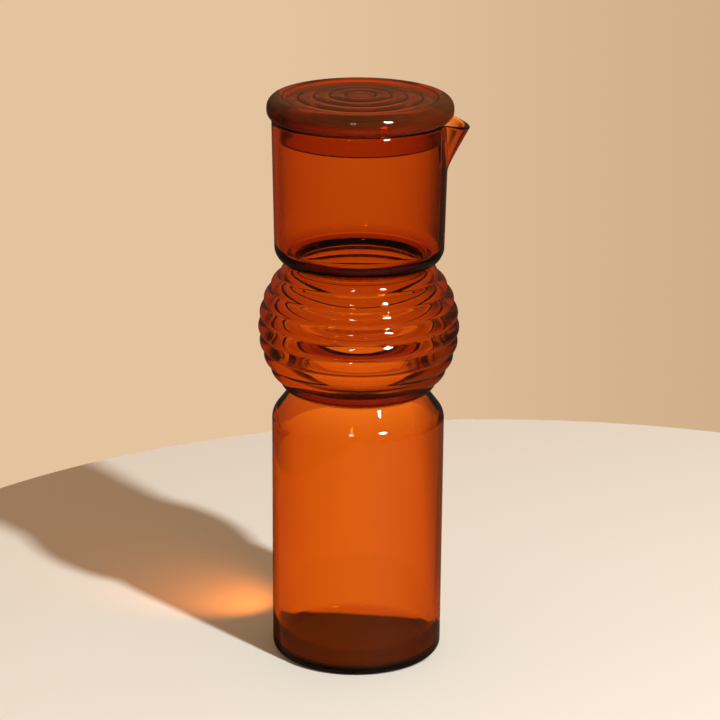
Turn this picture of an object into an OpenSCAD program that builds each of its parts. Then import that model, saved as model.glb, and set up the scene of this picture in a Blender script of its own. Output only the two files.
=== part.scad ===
// Amber glass carafe: plain lower chamber, ribbed globe, plain upper chamber with a pulled spout, and a
// drop-in lid with rings on its dome. Millimetres, +Z up, origin at the centre of the base, spout towards +X.

/* [Glass] */
// Wall thickness of the blown body
wall = 2.2; // [1.6:0.1:3]
// Thickness of the base
base_t = 4.5; // [3:0.5:8]

/* [Lower chamber] */
// Outer diameter just above the base
base_d = 74.8; // [68:0.1:82]
// Outer diameter under the shoulder
lower_d = 75.4; // [68:0.1:82]
// Height of the straight wall, from the base to the start of the shoulder
lower_h = 108.2; // [70:0.1:150]
// Radius of the outer corner at the base
base_corner_r = 3.5; // [2:0.1:6]
// Radius of the inner corner at the base
base_hollow_r = 6; // [3:0.5:12]
// Radius of the shoulder's curve
shoulder_r = 7; // [6:0.1:10]
// Radius of the softer curve inside the shoulder
shoulder_hollow_r = 26; // [8:0.5:30]
// Rise from the start of the shoulder to the lower neck
shoulder_rise = 13.4; // [10.5:0.1:16]

/* [Ribbed globe] */
// Diameter over the crests of the ribs
globe_d = 87.8; // [80:0.1:96]
// Height between the two necks
globe_h = 56.3; // [50:0.1:66]
// Diameter of the crease at both necks
neck_d = 58.6; // [50:0.1:62]
// Number of level ribs
rib_count = 9; // [7:1:11]
// Depth of the grooves between the ribs
rib_depth = 1.5; // [0.8:0.05:1.9]
// Depth of the same ribs on the inside, where the glass follows the mould less closely
rib_inner_depth = 1; // [0.4:0.05:1.4]
// Radius of the rounded ridge inside each neck
neck_ridge_r = 5; // [3:0.1:6]

/* [Upper chamber] */
// Outer diameter at the heel
upper_d = 73.2; // [68:0.1:80]
// Outer diameter at the rim
rim_d = 75.8; // [68:0.1:82]
// Rise from the upper neck to the start of the straight wall
heel_rise = 7.6; // [6:0.1:12]
// Radius of the heel's curve
heel_r = 6.7; // [5:0.1:8]
// Radius of the softer curve inside the heel
heel_hollow_r = 9; // [4:0.5:10]
// Height of the straight wall, from the heel to the rim
upper_h = 56.4; // [45:0.1:75]
// Depth ground off the round rim to seat the lid
rim_flat = 0.3; // [0.2:0.05:0.6]

/* [Spout] */
// Reach of the spout's tip past the wall
spout_reach = 9.35; // [7:0.05:12]
// Height of the spout, from its root on the wall to the rim
spout_h = 22.9; // [18:0.1:32]
// Angle from the middle of the spout to the side where it leaves the wall, level with the tip
spout_side_angle = 20; // [18:1:28]
// Fall of the lip towards the tip
spout_fall = 2.9; // [2:0.1:6]
// Extra glass at the tip
spout_tip_t = 0.8; // [0.4:0.1:1.5]

/* [Lid] */
// Diameter of the lid
lid_d = 80; // [77:0.1:86]
// Height of the thick edge
lid_edge_h = 9.7; // [8:0.1:12]
// Radius of the edge's upper curve
lid_edge_r = 5; // [3:0.1:5.5]
// Radius of the edge's lower curve
lid_under_r = 3.5; // [2:0.1:3.8]
// Height of the dome over the underside of the edge, without the rings
lid_rise = 10.2; // [8:0.1:12]
// Fall of the dome from its middle to its outermost groove
lid_fall = 2.3; // [1.5:0.1:3.5]
// Radius of the innermost groove
lid_cap_r = 6.6; // [5:0.1:7]
// Distance between grooves
lid_ring_pitch = 6.65; // [6:0.05:6.8]
// Number of grooves
lid_groove_count = 5; // [3:1:5]
// Depth of the grooves
lid_ring_depth = 0.5; // [0.4:0.05:0.8]
// Thickness of the dome
lid_t = 4; // [3:0.1:5]
// Depth of the skirt below the rim
skirt_h = 9; // [6:0.1:16]
// Thickness of the skirt
skirt_t = 2.6; // [2:0.1:3.5]
// Gap between the skirt and the mouth
lid_clearance = 1.1; // [0.5:0.1:2]
// Gap between the lid and the ground rim that it rests on
lid_seat_gap = 0.1; // [0.05:0.05:0.3]

/* [Hidden] */
$fn = 96;
amber = [0.72, 0.27, 0.03];
dark_amber = [0.48, 0.14, 0.03];

// Cuts run past the glass by this much
overrun = 2;
// The spout's two patches start this far under the wall, so that they cross it cleanly
patch_sink = 0.25;
// Steps across and up the spout's patches
patch_across = 24;
patch_up = 10;
// How softly the spout leaves the wall, and how wide its root is
side_blend_power = 1.4;
spout_root_share = 0.3;
// Ribs and rings run past their grooves by this share of their width
crest_overlap_share = 0.08;
// The lip starts to fall this far inside the rim
lip_hinge_inset = 1.9;
// The heel's curve takes up at most this share of its rise
heel_fit_share = 0.93;

// Heights of the stages
lower_neck_z = lower_h + shoulder_rise;
globe_z = lower_neck_z + globe_h / 2;
upper_neck_z = lower_neck_z + globe_h;
heel_z = upper_neck_z + heel_rise;
rim_z = heel_z + upper_h;

// Radius of the heel's curve, where its rise leaves room for it
heel_curve_r = min(heel_r, heel_fit_share * heel_rise);

// Ribs: the grooves lie on an arc that ends at both necks
neck_r = neck_d / 2;
groove_side = globe_d / 2 - rib_depth - neck_r;
groove_arc_r = (pow(groove_side, 2) + pow(globe_h / 2, 2)) / (2 * groove_side);
groove_arc_x = globe_d / 2 - rib_depth - groove_arc_r;
groove_end = asin(globe_h / 2 / groove_arc_r);
rib_angle = 2 * groove_end / rib_count;

// Spout
spout_root_z = rim_z - spout_h;
lip_hinge_x = rim_d / 2 - lip_hinge_inset;
lip_angle = atan(spout_fall / (rim_d / 2 + spout_reach - lip_hinge_x));

// Lid
mouth_r = rim_d / 2 - wall;
lid_z = rim_z + lid_seat_gap;
skirt_r = mouth_r - lid_clearance;
lid_edge = [lid_d / 2 - lid_edge_r, lid_z + lid_edge_h - lid_edge_r];
lid_under = [lid_d / 2 - lid_under_r, lid_z + lid_under_r];
lid_top_z = lid_z + lid_rise;
last_groove_r = lid_cap_r + (lid_groove_count - 1) * lid_ring_pitch;
lid_dome_r = (pow(last_groove_r, 2) + pow(lid_fall, 2)) / (2 * lid_fall);

// Radius of a circle through both ends of a chord that rises by sag in the middle
function arc_radius(chord, sag) = (pow(chord / 2, 2) + pow(sag, 2)) / (2 * sag);
// Point on a circle
function on_circle(centre, r, angle) = centre + r * [cos(angle), sin(angle)];
// Angle of the point where a line from a point touches a circle, on the side given by turn, 1 or -1
function touch_angle(point, centre, r, turn) =
    let (d = point - centre)
    atan2(d[1], d[0]) + turn * acos(r / norm(d));
// Centre of a curve between two walls drawn inwards by inset, where the outer one has its own centre and
// radius and turns from the level by angle
function turn_centre(centre, outer_r, angle, inset, r) = centre - (r + inset - outer_r) * [1, tan(angle / 2)];
// Outer radius of the upper chamber's wall at a height
function upper_wall_r(z) = upper_d / 2 + (rim_d - upper_d) / 2 * (z - heel_z) / upper_h;
// Point at groove number i of the globe, counted from the lower neck, on an arc of radius r
function globe_point(i, r) = on_circle([groove_arc_x, globe_z], r, i * rib_angle - groove_end);
// Groove number i on the lid, counted from the middle
function lid_groove(i) =
    let (r = lid_cap_r + i * lid_ring_pitch)
    [r, lid_top_z - lid_dome_r + sqrt(pow(lid_dome_r, 2) - pow(r, 2))];

// Round crest that bulges over the chord from a to b, on its right-hand side, by sag. It is sunk as deep as
// it bulges, and runs a little past both ends, so that neighbours cross in the groove between them.
module bulge(a, b, sag) {
    chord = norm(b - a);
    r = arc_radius(chord, sag);
    width = chord * (1 + 2 * crest_overlap_share);
    translate((a + b) / 2)
        rotate(atan2(a[1] - b[1], a[0] - b[0]))
            intersection() {
                translate([0, sag - r]) circle(r);
                translate([-width / 2, -sag]) square([width, 2 * sag]);
            }
}

// Half section of the lower chamber, drawn inwards by inset, from a floor with its own corner to a shoulder
// that turns with its own radius
module lower_section(inset, floor_z, corner_r, turn_r) {
    foot_r = base_d / 2 - inset;
    corner = [foot_r - corner_r, floor_z + corner_r];
    outer = [lower_d / 2 - shoulder_r, lower_h];
    neck = [neck_r, lower_neck_z];
    angle = touch_angle(neck, outer, shoulder_r, -1);
    shoulder = turn_centre(outer, shoulder_r, angle, inset, turn_r);
    neck_inner = neck - inset * [cos(angle), sin(angle)];
    polygon([
        [0, floor_z], [corner[0], floor_z], corner, [foot_r, corner[1]], shoulder + [turn_r, 0],
        shoulder, on_circle(shoulder, turn_r, angle), neck_inner, [0, neck_inner[1]]
    ]);
    translate(corner) circle(corner_r);
    intersection() {
        translate(shoulder) circle(turn_r);
        translate([0, shoulder[1]]) square([lower_d, lower_d]);
    }
}

// Half section of the upper chamber, drawn inwards by inset, from a heel that turns with its own radius up
// to a height
module upper_section(inset, top_z, turn_r) {
    outer = [upper_d / 2 - heel_curve_r, heel_z];
    neck = [neck_r, upper_neck_z];
    angle = touch_angle(neck, outer, heel_curve_r, 1);
    heel = turn_centre(outer, heel_curve_r, angle, inset, turn_r);
    neck_inner = neck - inset * [cos(angle), sin(angle)];
    polygon([
        [0, neck_inner[1]], neck_inner, on_circle(heel, turn_r, angle), heel,
        heel + [turn_r, 0], [upper_wall_r(top_z) - inset, top_z], [0, top_z]
    ]);
    intersection() {
        translate(heel) circle(turn_r);
        translate([0, heel[1] - upper_d]) square([upper_d, upper_d]);
    }
}

// Half section of the globe, with a round rib of a depth over each pair of grooves on an arc
module ribbed_section(arc_r, depth) {
    polygon([
        [0, lower_neck_z - depth],
        globe_point(0, arc_r),
        for (i = [1 : rib_count - 1]) globe_point(i, arc_r - depth / 2),
        globe_point(rib_count, arc_r),
        [0, upper_neck_z + depth]
    ]);
    for (i = [1 : rib_count]) bulge(globe_point(i - 1, arc_r), globe_point(i, arc_r), depth);
}

// Half section of the whole vessel, filled
module outside_section() {
    lower_section(0, 0, base_corner_r, shoulder_r);
    ribbed_section(groove_arc_r, rib_depth);
    intersection() {
        union() {
            upper_section(0, rim_z + rim_flat - wall / 2, heel_curve_r);
            translate([rim_d / 2 - wall / 2, rim_z + rim_flat - wall / 2]) circle(wall / 2);
        }
        square([globe_d, rim_z]);
    }
}

// Half section of the hollow, with round ridges of glass left inside both necks
module hollow_section() {
    difference() {
        union() {
            lower_section(wall, base_t, base_hollow_r, shoulder_hollow_r);
            ribbed_section(groove_arc_r - wall, rib_inner_depth);
            upper_section(wall, rim_z + overrun, heel_hollow_r);
            for (z = [lower_neck_z, upper_neck_z]) translate([0, z - wall]) square([neck_r, 2 * wall]);
        }
        for (z = [lower_neck_z, upper_neck_z])
            translate([neck_r - wall + neck_ridge_r, z]) circle(neck_ridge_r);
    }
}

// Share of the height of the tip over the spout's root at which z lies
function up_spout(z) = (z - spout_root_z) / (spout_h - spout_fall);
// Angle from the middle of the spout to its side at a height
function spout_side_at(z) = spout_side_angle * (spout_root_share + (1 - spout_root_share) * up_spout(z));
// How far the spout stands out of the wall: straight up its keel, and round across with soft sides,
// where t runs from -1 over 0 in the middle to 1
function spout_out(reach, t, z) = reach * up_spout(z) * pow(1 - t * t, side_blend_power);

// Patch of the spout between the wall radius less depth and the spout's own surface
module spout_patch(reach, inset, depth, top_z) {
    across = [for (i = [0 : patch_across]) 2 * i / patch_across - 1];
    up = [for (j = [0 : patch_up]) spout_root_z + (top_z - spout_root_z) * j / patch_up];
    count = (patch_across + 1) * (patch_up + 1);
    function place(r, t, z) = let (angle = t * spout_side_at(z)) [r * cos(angle), r * sin(angle), z];
    function wall_r(z) = upper_wall_r(z) - inset;
    front = [for (z = up, t = across) place(wall_r(z) - patch_sink + spout_out(reach, t, z), t, z)];
    back = [for (z = up, t = across) place(wall_r(z) - depth, t, z)];
    function at(i, j) = j * (patch_across + 1) + i;
    grid = [for (j = [0 : patch_up - 1], i = [0 : patch_across - 1]) [i, j]];
    polyhedron(
        concat(front, back),
        concat(
            [for (g = grid) [at(g[0], g[1]), at(g[0] + 1, g[1] + 1), at(g[0] + 1, g[1])]],
            [for (g = grid) [at(g[0], g[1]), at(g[0], g[1] + 1), at(g[0] + 1, g[1] + 1)]],
            [for (g = grid) count * [1, 1, 1] + [at(g[0], g[1]), at(g[0] + 1, g[1]), at(g[0] + 1, g[1] + 1)]],
            [for (g = grid) count * [1, 1, 1] + [at(g[0], g[1]), at(g[0] + 1, g[1] + 1), at(g[0], g[1] + 1)]],
            [for (i = [0 : patch_across - 1], j = [0, patch_up])
                let (q = [at(i, j), at(i + 1, j), at(i + 1, j) + count, at(i, j) + count])
                j == 0 ? q : [q[3], q[2], q[1], q[0]]],
            [for (j = [0 : patch_up - 1], i = [0, patch_across])
                let (q = [at(i, j), at(i, j) + count, at(i, j + 1) + count, at(i, j + 1)])
                i == 0 ? q : [q[3], q[2], q[1], q[0]]]
        )
    );
}

// One piece of blown glass: base, chambers, necks, ribbed globe, rim and spout
module carafe_body() {
    color(amber)
    difference() {
        union() {
            rotate_extrude() difference() {
                outside_section();
                hollow_section();
            }
            spout_patch(spout_reach, 0, wall / 2, rim_z);
        }
        spout_patch(spout_reach - spout_tip_t, wall, wall, rim_z + overrun);
        translate([lip_hinge_x, -rim_d / 2, rim_z])
            rotate([0, lip_angle, 0])
                cube([rim_d, rim_d, spout_h]);
    }
}

// Half section of the lid's dome and thick edge, with a round ring over each pair of grooves
module lid_section() {
    under_rings = [0, lid_ring_depth / 2];
    cap_z = lid_groove(0)[1];
    cap_arc_r = arc_radius(2 * lid_cap_r, lid_ring_depth);
    polygon([
        [0, lid_z],
        [lid_under[0], lid_z],
        lid_under,
        [lid_d / 2, lid_under[1]],
        [lid_d / 2, lid_edge[1]],
        lid_edge,
        for (i = [lid_groove_count - 1 : -1 : 0]) lid_groove(i) - under_rings,
        [0, cap_z] - under_rings
    ]);
    translate(lid_under) circle(lid_under_r);
    intersection() {
        translate(lid_edge) circle(lid_edge_r);
        translate([0, lid_edge[1]]) square([lid_d, lid_edge_r]);
    }
    for (i = [1 : lid_groove_count - 1]) bulge(lid_groove(i), lid_groove(i - 1), lid_ring_depth);
    intersection() {
        translate([0, cap_z + lid_ring_depth - cap_arc_r]) circle(cap_arc_r);
        translate([0, cap_z - lid_ring_depth])
            square([lid_cap_r * (1 + crest_overlap_share), 2 * lid_ring_depth]);
    }
}

// One piece of pressed glass: ringed dome with a round edge, hollow under it, and a skirt
module lid() {
    color(dark_amber)
    rotate_extrude() difference() {
        union() {
            lid_section();
            translate([0, lid_z - skirt_h]) square([skirt_r, skirt_h + lid_under_r]);
        }
        intersection() {
            translate([0, lid_top_z - lid_dome_r]) circle(lid_dome_r - lid_t);
            translate([0, lid_z - skirt_h - overrun]) square([skirt_r - skirt_t, lid_dome_r]);
        }
    }
}

carafe_body();
lid();
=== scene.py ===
# %% [markdown]
# # Amber glass carafe with a ringed lid
#
# The carafe is one piece of blown amber glass in three stages: a plain cylinder, a globe with level
# ribs, and a second plain cylinder that ends in a rim with a pulled spout. A lid of pressed glass
# drops into the mouth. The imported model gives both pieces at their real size. Glass shows every facet,
# so here both pieces are turned once more, with fine round curves, in the same place and at the same
# size.

# %% Load the frame
import math

import bmesh
import bpy
from mathutils import Matrix, Vector


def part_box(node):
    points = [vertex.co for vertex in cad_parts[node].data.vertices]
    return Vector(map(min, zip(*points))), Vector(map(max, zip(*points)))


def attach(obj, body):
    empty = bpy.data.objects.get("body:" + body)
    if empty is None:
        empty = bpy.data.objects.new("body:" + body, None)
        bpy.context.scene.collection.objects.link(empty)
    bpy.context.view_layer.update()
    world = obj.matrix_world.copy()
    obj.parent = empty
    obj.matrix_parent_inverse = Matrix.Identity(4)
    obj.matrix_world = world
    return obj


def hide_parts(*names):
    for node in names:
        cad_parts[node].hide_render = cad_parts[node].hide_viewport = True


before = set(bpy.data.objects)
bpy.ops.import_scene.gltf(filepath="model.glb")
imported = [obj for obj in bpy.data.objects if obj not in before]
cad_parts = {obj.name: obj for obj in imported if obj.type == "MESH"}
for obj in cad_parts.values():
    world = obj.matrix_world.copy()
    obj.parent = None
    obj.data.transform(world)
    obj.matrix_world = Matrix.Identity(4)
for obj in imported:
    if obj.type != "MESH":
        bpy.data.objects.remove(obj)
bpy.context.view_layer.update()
body_low, body_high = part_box("carafe_body")
lid_low, lid_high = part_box("lid")
print("carafe body", body_low, body_high)
print("lid", lid_low, lid_high)

# %% [markdown]
# ## Camera
#
# The camera comes first. It looks along +Y and a little down, from far enough away that the lid's
# ellipse is clearly flatter than the base's. A long lens does the rest. The camera leans by half a
# degree, as a camera held by hand does.

# %% Place the camera
CAMERA_PLACE = Vector((0.0, -1.25, 0.5383))
CAMERA_PITCH = 0.313
CAMERA_LEAN = 0.0077
CAMERA_TURN = 0.00053
CAMERA_LENS_MM = 150.5

camera_data = bpy.data.cameras.new("camera")
camera_data.lens = CAMERA_LENS_MM
camera = bpy.data.objects.new("camera", camera_data)
camera.matrix_world = (
    Matrix.Translation(CAMERA_PLACE)
    @ Matrix.Rotation(-CAMERA_TURN, 4, "Z")
    @ Matrix.Rotation(math.pi / 2 - CAMERA_PITCH, 4, "X")
    @ Matrix.Rotation(CAMERA_LEAN, 4, "Z")
)
bpy.context.scene.collection.objects.link(camera)
bpy.context.scene.camera = camera
print("camera looks down by", round(math.degrees(CAMERA_PITCH), 1), "degrees")

# %% [markdown]
# ## A lathe for glass
#
# Both pieces are round, so both are drawn as one closed outline, out along the outside and back along
# the inside, and then spun about the axis. An outline is a list of corners, each with its distance from
# the axis, its height and the radius that rounds it. A vertex bevel does the rounding, so that the list
# stays short. The crest of a rib is an arc over the straight line between two grooves.

# %% Define the outline and the lathe
CORNER_SEGMENTS = 8
CREST_STEPS = 8
MERGE_DISTANCE = 1e-6
ML_PER_CUBIC_METRE = 1e6


def crest(a, b, height):
    """Points of the arc from a to b that rises by height on the right-hand side of its chord."""
    start = Vector(a)
    chord = Vector(b) - start
    half = chord.length / 2
    radius = (half * half + height * height) / (2 * height)
    out = Vector((chord.y, -chord.x)).normalized()
    centre = start + chord / 2 + out * (height - radius)
    sweep = 2 * math.asin(half / radius)
    spoke = start - centre
    points = []
    for step in range(1, CREST_STEPS):
        turn = Matrix.Rotation(sweep * step / CREST_STEPS, 2)
        point = centre + turn @ spoke
        points.append((point.x, point.y, 0.0))
    return points


def arc(centre, radius, start, end, steps):
    """Points on a circle from one angle to another, in degrees, both ends included."""
    points = []
    for step in range(steps + 1):
        angle = math.radians(start + (end - start) * step / steps)
        across = centre[0] + radius * math.cos(angle)
        up = centre[1] + radius * math.sin(angle)
        points.append((across, up, 0.0))
    return points


def round_corner(bm, corner, radius):
    """Rounds one corner of a wire outline, by cutting it back as far as the radius needs."""
    first, second = (edge.other_vert(corner).co - corner.co for edge in corner.link_edges)
    turn = math.pi - first.angle(second)
    bmesh.ops.bevel(
        bm,
        geom=[corner],
        affect="VERTICES",
        offset=radius * math.tan(turn / 2),
        segments=CORNER_SEGMENTS,
        profile=0.5,
        material=-1,
    )


def draw_outline(corners):
    """A wire in the plane y = 0 through (distance from axis, height, corner radius) corners."""
    bm = bmesh.new()
    verts = [bm.verts.new((across, 0.0, up)) for across, up, radius in corners]
    for a, b in zip(verts, verts[1:]):
        bm.edges.new((a, b))
    for vert, (across, up, radius) in zip(verts, corners):
        if radius > 0:
            round_corner(bm, vert, radius)
    return bm


def spin(bm, geom, sweep, steps):
    """Spins part of an outline about the axis and returns where it ends."""
    done = bmesh.ops.spin(
        bm,
        geom=geom,
        cent=(0, 0, 0),
        axis=(0, 0, 1),
        angle=sweep,
        steps=steps,
        use_merge=sweep >= math.tau,
    )
    return done["geom_last"]


def close_glass(bm):
    """Merges the seam and the poles, and turns every face outwards."""
    bmesh.ops.remove_doubles(bm, verts=bm.verts, dist=MERGE_DISTANCE)
    bmesh.ops.recalc_face_normals(bm, faces=bm.faces)
    open_edges = sum(1 for edge in bm.edges if len(edge.link_faces) != 2)
    millilitres = bm.calc_volume() * ML_PER_CUBIC_METRE
    print("open edges", open_edges, "glass in ml", round(millilitres, 1))


def make_piece(name, bm):
    """A smooth object from a finished bmesh."""
    mesh = bpy.data.meshes.new(name)
    bm.to_mesh(mesh)
    bm.free()
    mesh.shade_smooth()
    piece = bpy.data.objects.new(name, mesh)
    bpy.context.scene.collection.objects.link(piece)
    print(name, "has", len(mesh.polygons), "faces")
    return piece


# %% [markdown]
# ## The carafe's outline
#
# The wall and the base are a little over two millimetres of glass. The shoulder and the heel are round
# and run straight into the necks, where the glass pinches to a sharp crease outside and a soft ridge
# inside. The globe's grooves lie on an arc between the necks. The inside follows the ribs less deeply
# than the outside, as when a bubble is blown into a ribbed mould.

# %% Set the carafe's sizes
RIM_Z = body_high.z
WALL = 0.0022
BASE_T = 0.0024
BASE_R = 0.0374
BASE_CORNER_R = 0.0035
BASE_HOLLOW_R = 0.0035
LOWER_R = 0.0377
LOWER_H = 0.1082
SHOULDER_R = 0.0070
SHOULDER_HOLLOW_R = 0.006
SHOULDER_RISE = 0.0134
NECK_R = 0.0293
NECK_CREASE_R = 0.0004
LOWER_RIDGE_R = 0.0046
LOWER_RIDGE_LIFT = 0.0025
UPPER_RIDGE_R = 0.0036
UPPER_RIDGE_LIFT = 0.0015
GLOBE_R = 0.0439
GLOBE_H = 0.0563
RIB_COUNT = 9
RIB_DEPTH = 0.0015
RIB_INNER_DEPTH = 0.001
GROOVE_R = 0.00025
INNER_GROOVE_R = 0.0006
UPPER_R = 0.0366
RIM_R = 0.0379
HEEL_RISE = 0.0076
HEEL_R = 0.0067
HEEL_HOLLOW_R = 0.0045
HEEL_LIFT = 0.0018
RIM_ROUND_SHARE = 0.48
RIDGE_STEP = 5
RIDGE_ARC_STEPS = 16
HEEL_ARC_STEPS = 8

lower_neck_z = LOWER_H + SHOULDER_RISE
globe_z = lower_neck_z + GLOBE_H / 2
upper_neck_z = lower_neck_z + GLOBE_H
heel_z = upper_neck_z + HEEL_RISE
groove_side = GLOBE_R - RIB_DEPTH - NECK_R
groove_arc_r = (groove_side**2 + (GLOBE_H / 2) ** 2) / (2 * groove_side)
groove_arc_x = GLOBE_R - RIB_DEPTH - groove_arc_r
groove_end = math.asin(GLOBE_H / 2 / groove_arc_r)
print("necks at", round(lower_neck_z, 4), "and", round(upper_neck_z, 4), "rim at", round(RIM_Z, 4))


# %% Draw the carafe's outline
def slope_turn(across, up, radius):
    """Angle at which a straight slope from a neck touches the curve of the shoulder or heel."""
    return math.atan2(up, across) - math.acos(radius / math.hypot(across, up))


def groove(number, arc_r):
    """A groove's place on an arc over the globe, counted from the lower neck."""
    angle = groove_end * (2 * number / RIB_COUNT - 1)
    return (groove_arc_x + arc_r * math.cos(angle), globe_z + arc_r * math.sin(angle))


def crossing(centre, radius, other, other_radius):
    """The point farther from the axis where two circles cross."""
    apart = other - centre
    along = (radius**2 - other_radius**2 + apart.length_squared) / (2 * apart.length)
    side = Vector((apart.y, -apart.x)) if apart.y < 0 else Vector((-apart.y, apart.x))
    aside = math.sqrt(radius**2 - along**2)
    return centre + apart.normalized() * along - side.normalized() * aside


def angle_of(point, centre):
    """Direction from a centre to a point, in degrees."""
    return math.degrees(math.atan2(point.y - centre.y, point.x - centre.x))


def draw_ribs(arc_r, depth, groove_round):
    """Round ribs over an arc from the lower neck to the upper one, with softly rounded grooves."""
    points = []
    for number in range(RIB_COUNT):
        points += crest(groove(number, arc_r), groove(number + 1, arc_r), depth)
        if number < RIB_COUNT - 1:
            points.append((*groove(number + 1, arc_r), groove_round))
    return points


shoulder_turn = slope_turn(NECK_R - LOWER_R + SHOULDER_R, SHOULDER_RISE, SHOULDER_R)
heel_turn = slope_turn(NECK_R - UPPER_R + HEEL_R, HEEL_RISE, HEEL_R)
shoulder = Vector((LOWER_R, LOWER_H + SHOULDER_R * math.tan(shoulder_turn / 2)))
hollow_shoulder = shoulder - WALL * Vector((1.0, math.tan(shoulder_turn / 2)))
inner_ribs = draw_ribs(groove_arc_r - WALL, RIB_INNER_DEPTH, INNER_GROOVE_R)
lower_ridge = Vector((NECK_R - WALL + LOWER_RIDGE_R, lower_neck_z + LOWER_RIDGE_LIFT))
upper_ridge = Vector((NECK_R - WALL + UPPER_RIDGE_R, upper_neck_z + UPPER_RIDGE_LIFT))
free_ribs = []
for point in inner_ribs:
    if (Vector(point[:2]) - lower_ridge).length > LOWER_RIDGE_R:
        free_ribs.append(point)
neck_hollow = groove(RIB_COUNT, groove_arc_r - WALL)
lower_foot = 360 - math.degrees(math.acos((neck_hollow[0] - lower_ridge.x) / LOWER_RIDGE_R))
upper_foot = 360 - math.degrees(math.acos((neck_hollow[0] - upper_ridge.x) / UPPER_RIDGE_R))
ridge_start = angle_of(Vector(free_ribs[0][:2]), lower_ridge) + RIDGE_STEP
heel_hollow = Vector((UPPER_R - WALL - HEEL_HOLLOW_R, heel_z + HEEL_LIFT))
ridge_top = crossing(heel_hollow, HEEL_HOLLOW_R, upper_ridge, UPPER_RIDGE_R)
heel_end = angle_of(ridge_top, upper_ridge) + RIDGE_STEP
print("ridge meets the heel at", ridge_top)
rim_round = WALL * RIM_ROUND_SHARE

outside = [
    (0.0, 0.0, 0.0),
    (BASE_R, 0.0, BASE_CORNER_R),
    (*shoulder, SHOULDER_R),
    (NECK_R, lower_neck_z, NECK_CREASE_R),
    *draw_ribs(groove_arc_r, RIB_DEPTH, GROOVE_R),
    (NECK_R, upper_neck_z, NECK_CREASE_R),
    (UPPER_R, heel_z - HEEL_R * math.tan(heel_turn / 2), HEEL_R),
    (RIM_R, RIM_Z, rim_round),
]
inside = [
    (RIM_R - WALL, RIM_Z, rim_round),
    *arc(heel_hollow, HEEL_HOLLOW_R, 0, angle_of(ridge_top, heel_hollow), HEEL_ARC_STEPS),
    *arc(upper_ridge, UPPER_RIDGE_R, heel_end, upper_foot, RIDGE_ARC_STEPS),
    (*neck_hollow, 0.0),
    *reversed(free_ribs),
    *arc(lower_ridge, LOWER_RIDGE_R, ridge_start, lower_foot, RIDGE_ARC_STEPS),
    (*hollow_shoulder, SHOULDER_HOLLOW_R),
    (BASE_R - WALL, BASE_T, BASE_HOLLOW_R),
    (0.0, BASE_T, 0.0),
]
carafe = draw_outline(outside + inside)
print("carafe outline has", len(carafe.verts), "points")

# %% [markdown]
# ## Turning the carafe and pulling the spout
#
# A glassmaker pulls the spout out of the hot rim with one stroke of a tool. The same is done here: the
# wall is cut into fine rows, turned with fine steps around the spout and wider ones elsewhere, and then
# the points near the spout are drawn outwards. The keel rises straight, the sides leave the wall
# softly, and the lip falls towards its tip.

# %% Turn the carafe
SPOUT_SECTOR = math.radians(84)
SPOUT_STEPS = 132
REST_STEPS = 150
WALL_ROWS = 44

upper_wall = [
    edge
    for edge in carafe.edges
    if min(vert.co.z for vert in edge.verts) > heel_z - HEEL_R and edge.calc_length() > HEEL_R
]
bmesh.ops.subdivide_edges(carafe, edges=upper_wall, cuts=WALL_ROWS)
bmesh.ops.rotate(carafe, verts=carafe.verts, matrix=Matrix.Rotation(-SPOUT_SECTOR / 2, 3, "Z"))
seam = spin(carafe, carafe.verts[:] + carafe.edges[:], SPOUT_SECTOR, SPOUT_STEPS)
spin(carafe, seam, math.tau - SPOUT_SECTOR, REST_STEPS)
close_glass(carafe)

# %% Pull the spout
SPOUT_H = 0.0229
SPOUT_FALL = 0.0029
SPOUT_SIDE = math.radians(20)
SPOUT_ROOT_SHARE = 0.3
SPOUT_TIP_T = 0.0008
SPOUT_KEEL_SOFT = 0.12
SIDE_BLEND = 1.4
LIP_HINGE_INSET = 0.0019
SETTLE_ROUNDS = 6

spout_root_z = RIM_Z - SPOUT_H
tip_z = RIM_Z - SPOUT_FALL
lip_hinge_x = RIM_R - LIP_HINGE_INSET


def wall_radius(z):
    """Outer radius of the upper wall at a height."""
    return UPPER_R + (RIM_R - UPPER_R) * (z - heel_z) / (RIM_Z - heel_z)


def soft(value, ease):
    """Grows from 0 to 1 with value, with a soft start."""
    return (math.hypot(value, ease) - ease) / (math.hypot(1.0, ease) - ease)


def pull(vert):
    """Moves one point of the upper wall out along the spout, and down with the lip."""
    radius = math.hypot(vert.co.x, vert.co.y)
    angle = math.atan2(vert.co.y, vert.co.x)
    start_z = vert.co.z
    depth = min(max((wall_radius(start_z) - radius) / WALL, 0.0), 1.0)
    reach = body_high.x - wall_radius(tip_z) - depth * SPOUT_TIP_T
    z = start_z
    out = 0.0
    for _ in range(SETTLE_ROUNDS):
        up = (z - spout_root_z) / (tip_z - spout_root_z)
        side = SPOUT_SIDE * (SPOUT_ROOT_SHARE + (1 - SPOUT_ROOT_SHARE) * up)
        across = min(abs(angle) / side, 1.0)
        out = reach * soft(up, SPOUT_KEEL_SOFT) * (1 - across * across) ** SIDE_BLEND
        past_hinge = max((radius + out) * math.cos(angle) - lip_hinge_x, 0.0)
        fall = SPOUT_FALL * past_hinge / (body_high.x - lip_hinge_x)
        z = start_z - fall * (start_z - spout_root_z) / SPOUT_H
    vert.co = Vector(((radius + out) * math.cos(angle), (radius + out) * math.sin(angle), z))


for vert in carafe.verts:
    if vert.co.z > spout_root_z and abs(math.atan2(vert.co.y, vert.co.x)) < SPOUT_SECTOR / 2:
        pull(vert)
print("spout tip at", round(max(vert.co.x for vert in carafe.verts), 4))
carafe_glass = make_piece("carafe_glass", carafe)

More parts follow.
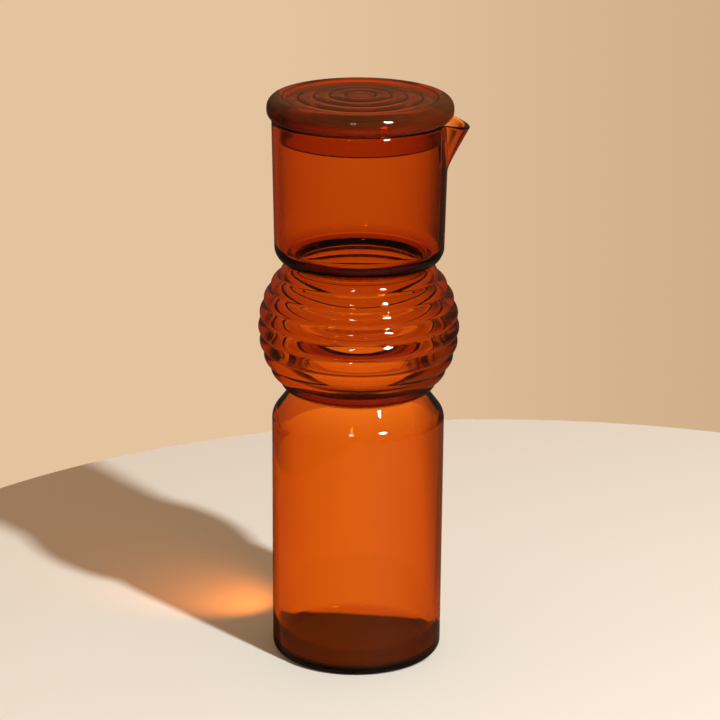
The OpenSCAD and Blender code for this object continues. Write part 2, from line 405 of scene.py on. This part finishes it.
# %% [markdown]
# ## The lid
#
# The lid is pressed in a mould: a shallow dome with rings, a thick round edge that rests on the rim, and
# a hollow skirt that drops into the mouth and keeps the lid in place. It is turned from one outline too.
# The last ring runs into the thick edge, so its arc stops where it meets the edge's curve.

# %% Draw and turn the lid
LID_R = lid_high.x
SKIRT_Z = lid_low.z
LID_EDGE_H = 0.0097
LID_EDGE_R = 0.005
LID_UNDER_R = 0.0035
LID_RISE = 0.0102
LID_FALL = 0.0023
LID_CAP_R = 0.0066
LID_RING_PITCH = 0.00665
LID_GROOVES = 5
LID_RING_DEPTH = 0.0005
LID_GROOVE_R = 0.00018
LID_T = 0.004
LID_CLEARANCE = 0.0011
SKIRT_T = 0.0026
SKIRT_ROUND = 0.0007
UNDER_ROUND = 0.002
UNDER_STEPS = 8
EDGE_ARC_STEPS = 20
UNDER_ARC_STEPS = 12
LID_SEAT = 0.0001
LID_STEPS = 240

seat_z = RIM_Z + LID_SEAT
last_groove_r = LID_CAP_R + (LID_GROOVES - 1) * LID_RING_PITCH
dome_r = (last_groove_r**2 + LID_FALL**2) / (2 * LID_FALL)
dome_z = seat_z + LID_RISE - dome_r
hollow_dome_r = dome_r - LID_T
skirt_r = RIM_R - WALL - LID_CLEARANCE
hollow_lid_r = skirt_r - SKIRT_T
edge_centre = Vector((LID_R - LID_EDGE_R, seat_z + LID_EDGE_H - LID_EDGE_R))
under_centre = Vector((LID_R - LID_UNDER_R, seat_z + LID_UNDER_R))


def dome(radius, across):
    """A point on a dome of that radius at a distance from the axis."""
    return (across, dome_z + math.sqrt(radius**2 - across**2))


def ring_groove(number):
    """A groove's place on the lid, counted from the middle."""
    return dome(dome_r, LID_CAP_R + number * LID_RING_PITCH)


def ring_crest(number):
    """The arc of the ring outside a groove."""
    return crest(ring_groove(number), ring_groove(number + 1), -LID_RING_DEPTH)


first = ring_groove(0)
cap = crest((-first[0], first[1]), first, -LID_RING_DEPTH)[CREST_STEPS // 2 :]
rings = []
for number in range(LID_GROOVES - 2):
    rings += [(*ring_groove(number), LID_GROOVE_R), *ring_crest(number)]
rings.append((*ring_groove(LID_GROOVES - 2), LID_GROOVE_R))
for point in ring_crest(LID_GROOVES - 2):
    if (Vector(point[:2]) - edge_centre).length > LID_EDGE_R:
        rings.append(point)
inwards = Vector(rings[-1][:2]) - edge_centre
brow = math.degrees(math.atan2(inwards.y, inwards.x))
hollow = []
for step in range(UNDER_STEPS - 1, -1, -1):
    hollow.append(dome(hollow_dome_r, hollow_lid_r * step / UNDER_STEPS))

lid = draw_outline(
    [
        (0.0, first[1] + LID_RING_DEPTH, 0.0),
        *cap,
        *rings,
        *arc(edge_centre, LID_EDGE_R, brow, 0, EDGE_ARC_STEPS),
        *arc(under_centre, LID_UNDER_R, 0, -90, UNDER_ARC_STEPS),
        (skirt_r, seat_z, SKIRT_ROUND),
        (skirt_r, SKIRT_Z, SKIRT_ROUND),
        (hollow_lid_r, SKIRT_Z, SKIRT_ROUND),
        (*dome(hollow_dome_r, hollow_lid_r), UNDER_ROUND),
        *((*point, 0.0) for point in hollow),
    ]
)
spin(lid, lid.verts[:] + lid.edges[:], math.tau, LID_STEPS)
close_glass(lid)
lid_glass = make_piece("lid_glass", lid)

# %% [markdown]
# ## Tools for the materials
#
# The glass, the floor and the backdrop are all made of shader nodes. A few short functions set the nodes
# up, so that each material reads as a list of steps. A value is a plain number or colour, or else the
# output of another node.

# %% Define the tools for materials
def set_inputs(node, **values):
    """Sets some of a node's inputs by name."""
    for name, value in values.items():
        node.inputs[name.replace("_", " ")].default_value = value


def add_node(tree, kind, **values):
    """A shader node with some of its inputs set."""
    node = tree.nodes.new(kind)
    set_inputs(node, **values)
    return node


def feed(tree, value, socket):
    """Gives an input a plain value, or links it to another node's output."""
    if isinstance(value, bpy.types.NodeSocket):
        tree.links.new(value, socket)
    else:
        socket.default_value = value


def split(tree, vector):
    """The X, Y and Z of a vector."""
    node = add_node(tree, "ShaderNodeSeparateXYZ")
    tree.links.new(vector, node.inputs["Vector"])
    return node.outputs


def combine(tree, operation, first, second):
    """Two values put together by a Math node."""
    node = add_node(tree, "ShaderNodeMath")
    node.operation = operation
    feed(tree, first, node.inputs[0])
    feed(tree, second, node.inputs[1])
    return node.outputs["Value"]


def project(tree, vector, direction):
    """How far a vector reaches in a direction."""
    node = add_node(tree, "ShaderNodeVectorMath")
    node.operation = "DOT_PRODUCT"
    tree.links.new(vector, node.inputs[0])
    node.inputs[1].default_value = direction
    return node.outputs["Value"]


def from_axis(tree, parts):
    """Distance of a shaded point from the carafe's axis."""
    square_x = combine(tree, "POWER", parts["X"], 2.0)
    square_y = combine(tree, "POWER", parts["Y"], 2.0)
    return combine(tree, "POWER", combine(tree, "ADD", square_x, square_y), 0.5)


def ramp(tree, value, start, end, low=0.0, high=1.0, kind="LINEAR"):
    """Goes from low, where a value is at its start, to high, where it is at its end."""
    node = add_node(tree, "ShaderNodeMapRange", From_Min=start, From_Max=end, To_Min=low, To_Max=high)
    node.interpolation_type = kind
    tree.links.new(value, node.inputs["Value"])
    return node.outputs["Result"]


def fade(tree, value, limits):
    """A soft step from 0 at the first limit to 1 at the second."""
    start, end = limits
    return ramp(tree, value, start, end, kind="SMOOTHSTEP")


def blend(tree, share, first, second):
    """A colour between two."""
    node = add_node(tree, "ShaderNodeMix")
    node.data_type = "RGBA"
    feed(tree, share, node.inputs["Factor"])
    feed(tree, first, node.inputs["A"])
    feed(tree, second, node.inputs["B"])
    return node.outputs["Result"]


def mix_shaders(tree, share, first, second):
    """The first shader with a share of the second."""
    node = add_node(tree, "ShaderNodeMixShader")
    feed(tree, share, node.inputs["Fac"])
    tree.links.new(first, node.inputs[1])
    tree.links.new(second, node.inputs[2])
    return node.outputs["Shader"]


# %% [markdown]
# ## Amber glass
#
# The colour of glass is in its depth: light loses a little red, more green and nearly all its blue on
# each millimetre. A Volume Absorption does this, so that thin walls glow orange and thick edges turn
# nearly black. The surface is clear and smooth, apart from the faint waves that blowing leaves. The lid
# is thick, so its pressed glass takes less light. A slight haze lies on it, and painted shade draws dark
# lines along its grooves.

# %% Make the glass
GLASS_IOR = 1.5
CLEAR = (1.0, 1.0, 1.0, 1.0)
BODY_LOSS = (190.0, 440.0, 1150.0)
BODY_WAVE_SIZE = 0.02
BODY_WAVE_HEIGHT = 0.00006
LID_LOSS = (130.0, 380.0, 950.0)
LID_WAVE_SIZE = 0.015
LID_WAVE_HEIGHT = 0.00003


def make_glass(name, loss_per_metre, wave_size, wave_height):
    """Clear glass with faint waves, which takes out red, green and blue light as it goes."""
    material = bpy.data.materials.new(name)
    material.use_nodes = True
    tree = material.node_tree
    surface = tree.nodes["Principled BSDF"]
    set_inputs(surface, Base_Color=CLEAR, Roughness=0.0, IOR=GLASS_IOR, Transmission_Weight=1.0)
    place = add_node(tree, "ShaderNodeTexCoord")
    waves = add_node(tree, "ShaderNodeTexNoise", Scale=1.0 / wave_size, Detail=1.0)
    bump = add_node(tree, "ShaderNodeBump", Strength=1.0, Distance=wave_height)
    tree.links.new(place.outputs["Object"], waves.inputs["Vector"])
    tree.links.new(waves.outputs["Fac"], bump.inputs["Height"])
    tree.links.new(bump.outputs["Normal"], surface.inputs["Normal"])
    density = max(loss_per_metre)
    absorbed = (*(1.0 - loss / density for loss in loss_per_metre), 1.0)
    depth = add_node(tree, "ShaderNodeVolumeAbsorption", Color=absorbed, Density=density)
    tree.links.new(depth.outputs["Volume"], tree.nodes["Material Output"].inputs["Volume"])
    print(name, "takes", loss_per_metre, "per metre")
    return material


body_paint = make_glass("blown_amber", BODY_LOSS, BODY_WAVE_SIZE, BODY_WAVE_HEIGHT)
lid_paint = make_glass("pressed_amber", LID_LOSS, LID_WAVE_SIZE, LID_WAVE_HEIGHT)
carafe_glass.data.materials.append(body_paint)
lid_glass.data.materials.append(lid_paint)

# %% Lay the haze and the painted groove shade on the lid
HAZE_COLOUR = (0.95, 0.22, 0.03, 1.0)
HAZE_SHARE = 0.06
# Painted shade: a dark matt film along the lid's grooves
GROOVE_SHADE_COLOUR = (0.05, 0.018, 0.008, 1.0)
GROOVE_SHADE_SHARE = 0.75
GROOVE_SHADE_WIDTH = 0.0007


def add_film(material, share, colour):
    """Lays a matt film on a surface, such as a haze or a painted shade."""
    tree = material.node_tree
    out = tree.nodes["Material Output"].inputs["Surface"]
    film = add_node(tree, "ShaderNodeBsdfDiffuse", Color=colour)
    mixed = mix_shaders(tree, share, out.links[0].from_socket, film.outputs["BSDF"])
    tree.links.new(mixed, out)


lid_tree = lid_paint.node_tree
lid_place = add_node(lid_tree, "ShaderNodeTexCoord").outputs["Object"]
lid_parts = split(lid_tree, lid_place)
from_middle = from_axis(lid_tree, lid_parts)
from_first = combine(lid_tree, "SUBTRACT", from_middle, LID_CAP_R)
from_groove = combine(lid_tree, "PINGPONG", from_first, LID_RING_PITCH / 2)
past_middle = combine(lid_tree, "GREATER_THAN", from_middle, LID_CAP_R / 2)
before_edge = combine(lid_tree, "LESS_THAN", from_middle, last_groove_r + LID_RING_PITCH / 4)
lowest_line_z = seat_z + LID_RISE - LID_FALL - LID_T / 2
on_top = combine(lid_tree, "GREATER_THAN", lid_parts["Z"], lowest_line_z)
# Painted shade: dark lines at each groove of the top, fading out within a short width
painted_groove_shade = ramp(lid_tree, from_groove, GROOVE_SHADE_WIDTH, 0.0, high=GROOVE_SHADE_SHARE)
for inside_limit in (past_middle, before_edge, on_top):
    painted_groove_shade = combine(lid_tree, "MULTIPLY", painted_groove_shade, inside_limit)
add_film(lid_paint, HAZE_SHARE, HAZE_COLOUR)
add_film(lid_paint, painted_groove_shade, GROOVE_SHADE_COLOUR)
print("the lid has", LID_GROOVES, "groove lines")

# %% [markdown]
# ## Fasten the pieces to the frame
#
# Each piece of glass takes the place of its CAD node and moves with that node's body, so that the lid
# lifts out when its joint moves.

# %% Ride on the frame
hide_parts("carafe_body")
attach(carafe_glass, "carafe")
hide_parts("lid")
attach(lid_glass, "lid")

# %% [markdown]
# ## The floor
#
# Glass is only as good as what stands behind it. The carafe stands on a pale round top, whose far edge
# lies about a foot behind it. The glass above that edge shows the warm backdrop, and the glass below
# shows the top. Two things are set by the path that light takes. What the front of the glass mirrors of
# the top is painted dark, so that no grey veil lies over the amber. What shows through the glass is
# painted light: there the top glows evenly by itself, with painted shade that dims it at the right.
# Close around the base a painted shadow lies in front of a straight line, which gives the dark base its
# level upper edge.

# %% Make the floor
FLOOR_R = 0.36
FLOOR_T = 0.02
FLOOR_SEGMENTS = 160
FLOOR_CENTRE = Vector((0.08, -0.05, 0.0))
FLOOR_DROP = 0.0001

floor_mesh = bmesh.new()
bmesh.ops.create_circle(floor_mesh, cap_ends=True, radius=FLOOR_R, segments=FLOOR_SEGMENTS)
deep = bmesh.ops.extrude_face_region(floor_mesh, geom=floor_mesh.faces[:])
deep_verts = [item for item in deep["geom"] if isinstance(item, bmesh.types.BMVert)]
bmesh.ops.translate(floor_mesh, verts=deep_verts, vec=(0, 0, -FLOOR_T))
floor_shift = FLOOR_CENTRE - Vector((0, 0, FLOOR_DROP))
bmesh.ops.translate(floor_mesh, verts=floor_mesh.verts, vec=floor_shift)
bmesh.ops.recalc_face_normals(floor_mesh, faces=floor_mesh.faces)
floor_data = bpy.data.meshes.new("floor")
floor_mesh.to_mesh(floor_data)
floor_mesh.free()
floor = bpy.data.objects.new("floor", floor_data)
bpy.context.scene.collection.objects.link(floor)

# %% Paint the floor
FLOOR_COLOUR = (0.86, 0.86, 0.78, 1.0)
FLOOR_ROUGHNESS = 0.7
FLOOR_SHINE = 0.2
FLOOR_MIRRORED = (0.12, 0.08, 0.05, 1.0)
# Painted light: the colour in which the floor seen through the glass glows by itself
FLOOR_GLOW_COLOUR = (1.83, 0.84, 0.55, 1.0)
# Painted shadow: the dark colour of the floor close around the base, seen through the glass
FLOOR_PAINTED_SHADOW = (0.11, 0.07, 0.045, 1.0)
UNLIT_R = 0.056
UNLIT_SLOPE = 0.13
UNLIT_Y = 0.029
UNLIT_EDGE = 0.003
DIM_FROM_X = 0.045
DIM_TO_X = 0.09
DIM_SHARE = 0.4

floor_paint = bpy.data.materials.new("pale_floor")
floor_paint.use_nodes = True
floor_tree = floor_paint.node_tree
floor_surface = floor_tree.nodes["Principled BSDF"]
set_inputs(floor_surface, Roughness=FLOOR_ROUGHNESS, Specular_IOR_Level=FLOOR_SHINE)
floor_place = add_node(floor_tree, "ShaderNodeTexCoord").outputs["Object"]
floor_parts = split(floor_tree, floor_place)
floor_path = add_node(floor_tree, "ShaderNodeLightPath")
through = floor_path.outputs["Is Transmission Ray"]
# Painted dark reflection: what the glass mirrors of the floor is a darker copy of it
mirrored = combine(floor_tree, "SUBTRACT", floor_path.outputs["Is Glossy Ray"], through)
floor_seen = blend(floor_tree, mirrored, FLOOR_COLOUR, FLOOR_MIRRORED)
floor_tree.links.new(floor_seen, floor_surface.inputs["Base Color"])

# Painted shadow: close around the base, in front of a straight line, the floor seen through the glass is
# dark
way_back = project(floor_tree, floor_place, (UNLIT_SLOPE, 1.0, 0.0))
behind_line = ramp(floor_tree, way_back, UNLIT_Y, UNLIT_Y + UNLIT_EDGE)
from_base = from_axis(floor_tree, floor_parts)
beyond_base = ramp(floor_tree, from_base, UNLIT_R, UNLIT_R + UNLIT_EDGE)
lit_floor = combine(floor_tree, "MAXIMUM", behind_line, beyond_base)
painted_floor_light = blend(floor_tree, lit_floor, FLOOR_PAINTED_SHADOW, FLOOR_GLOW_COLOUR)
# Painted shade: the floor's glow seen through the glass dims towards the right
painted_dimming = ramp(floor_tree, floor_parts["X"], DIM_FROM_X, DIM_TO_X, low=1.0, high=DIM_SHARE)
# Painted light: the floor seen through the glass is an emission, not lit by the lamps
painted_floor_glow = add_node(floor_tree, "ShaderNodeEmission")
floor_tree.links.new(painted_floor_light, painted_floor_glow.inputs["Color"])
floor_tree.links.new(painted_dimming, painted_floor_glow.inputs["Strength"])
floor_look = mix_shaders(
    floor_tree, through, floor_surface.outputs["BSDF"], painted_floor_glow.outputs["Emission"]
)
floor_tree.links.new(floor_look, floor_tree.nodes["Material Output"].inputs["Surface"])
floor_data.materials.append(floor_paint)

# %% [markdown]
# ## Light
#
# One key lamp stands at the front right, at about half a right angle of height, so that the shadow
# falls to the back left. Wider lamps that only glossy surfaces see give the glints their size. The
# carafe focuses the key lamp's light on the floor behind it, and a small warm spot stands in for that.
#
# The backdrop is the world itself: a warm beige, with painted shade that darkens it to the right.
# Through the glass the world is a room, with a lit wall behind and to the right, a band of shade low on
# its right, and darkness at the left, in front and above. That darkness draws the rims, ribs and edges.
# What the glass mirrors is a dim room that grows lighter upwards, and the floor gets an even, weak
# light.

# %% Set the lamps
LIGHT_AIM = Vector((0.0, 0.0, 0.12))
KEY_TOWARDS = Vector((0.470, -0.560, 0.682))
LAMP_DISTANCE = 1.8
KEY_SIZE = 0.09
KEY_POWER = 33.0
GLINT_SIZE = 0.26
GLINT_POWER = 30.0
FILL_TOWARDS = Vector((-0.13, -0.80, 0.58))
FILL_SIZE = 0.2
FILL_POWER = 3.0
GLOW_PLACE = Vector((-0.029, 0.031, 0.035))
GLOW_AIM = Vector((-0.068, 0.058, 0.0))
GLOW_COLOUR = (1.0, 0.25, 0.03)
GLOW_POWER = 0.15
GLOW_CONE = math.radians(75)
GLOW_SOFT_SIZE = 0.002


def make_lamp(name, towards, size, power):
    """A round soft lamp that shines on the carafe."""
    data = bpy.data.lights.new(name, "AREA")
    data.shape = "DISK"
    data.size = size
    data.energy = power
    lamp = bpy.data.objects.new(name, data)
    lamp.location = LIGHT_AIM + towards.normalized() * LAMP_DISTANCE
    lamp.rotation_euler = towards.to_track_quat("Z", "Y").to_euler()
    bpy.context.scene.collection.objects.link(lamp)
    return lamp


make_lamp("key", KEY_TOWARDS, KEY_SIZE, KEY_POWER)
glint = make_lamp("glint", KEY_TOWARDS, GLINT_SIZE, GLINT_POWER)
fill = make_lamp("fill", FILL_TOWARDS, FILL_SIZE, FILL_POWER)
glint.visible_diffuse = False
fill.visible_diffuse = False

# %% Set the glow behind the base
glow_data = bpy.data.lights.new("glow", "SPOT")
glow_data.color = GLOW_COLOUR
glow_data.energy = GLOW_POWER
glow_data.spot_size = GLOW_CONE
glow_data.spot_blend = 1.0
glow_data.shadow_soft_size = GLOW_SOFT_SIZE
glow = bpy.data.objects.new("glow", glow_data)
glow.location = GLOW_PLACE
glow.rotation_euler = (GLOW_PLACE - GLOW_AIM).to_track_quat("Z", "Y").to_euler()
glow.visible_camera = False
glow.visible_glossy = False
glow.visible_transmission = False
bpy.context.scene.collection.objects.link(glow)

# %% Set the backdrop
BACKDROP_LEFT = (0.78, 0.55, 0.35, 1.0)
BACKDROP_RIGHT = (0.64, 0.43, 0.255, 1.0)
BACKDROP_FADE = (-0.05, 0.13)
LIT_TOWARDS = (0.5, 0.87, 0.0)
LIT_FADE = (0.15, 0.55)
CEILING_FADE = (0.7, 0.1)
THROUGH_GLASS = (1.33, 0.46, 0.29, 1.0)
ROOM = (0.10, 0.058, 0.032, 1.0)
SHADED_WALL = (0.07, 0.045, 0.03, 1.0)
SHADE_SIDE = (0.02, 0.3)
SHADE_TOP = (0.0, -0.2)
SHADE_FOOT = (-0.42, -0.3)
MIRRORED_LOW = (0.06, 0.042, 0.03, 1.0)
MIRRORED_HIGH = (0.20, 0.12, 0.06, 1.0)
MIRRORED_FADE = (-0.1, 0.35)
ON_FLOOR = (0.375, 0.232, 0.138, 1.0)

world = bpy.data.worlds.new("backdrop")
bpy.context.scene.world = world
world.use_nodes = True
sky = world.node_tree
heading = add_node(sky, "ShaderNodeTexCoord").outputs["Generated"]
parts = split(sky, heading)
path = add_node(sky, "ShaderNodeLightPath").outputs

behind = fade(sky, project(sky, heading, LIT_TOWARDS), LIT_FADE)
lit_wall = combine(sky, "MULTIPLY", behind, fade(sky, parts["Z"], CEILING_FADE))
band = combine(sky, "MULTIPLY", fade(sky, parts["Z"], SHADE_TOP), fade(sky, parts["Z"], SHADE_FOOT))
shaded = combine(sky, "MULTIPLY", fade(sky, parts["X"], SHADE_SIDE), band)
through_glass = blend(sky, shaded, blend(sky, lit_wall, ROOM, THROUGH_GLASS), SHADED_WALL)
mirrored_room = blend(sky, fade(sky, parts["Z"], MIRRORED_FADE), MIRRORED_LOW, MIRRORED_HIGH)
# Painted shade: the backdrop darkens towards the right
backdrop = blend(sky, fade(sky, parts["X"], BACKDROP_FADE), BACKDROP_LEFT, BACKDROP_RIGHT)
only_mirrored = combine(sky, "SUBTRACT", path["Is Glossy Ray"], path["Is Transmission Ray"])
seen = blend(sky, only_mirrored, through_glass, mirrored_room)
shown = blend(sky, path["Is Camera Ray"], seen, backdrop)
lighting = blend(sky, path["Is Diffuse Ray"], shown, ON_FLOOR)
sky.links.new(lighting, sky.nodes["Background"].inputs["Color"])

# %% [markdown]
# ## Finish
#
# The colours are shown as they are. Light may turn many times inside the thick lid before it leaves, and
# light that the glass focuses is left out, since the warm spot stands in for it.

# %% Finish
LIGHT_BOUNCES = 32

bpy.context.scene.view_settings.view_transform = "Standard"
bpy.context.scene.cycles.caustics_refractive = False
bpy.context.scene.cycles.caustics_reflective = False
bpy.context.scene.cycles.max_bounces = LIGHT_BOUNCES
bpy.context.scene.cycles.glossy_bounces = LIGHT_BOUNCES
bpy.context.scene.cycles.transmission_bounces = LIGHT_BOUNCES
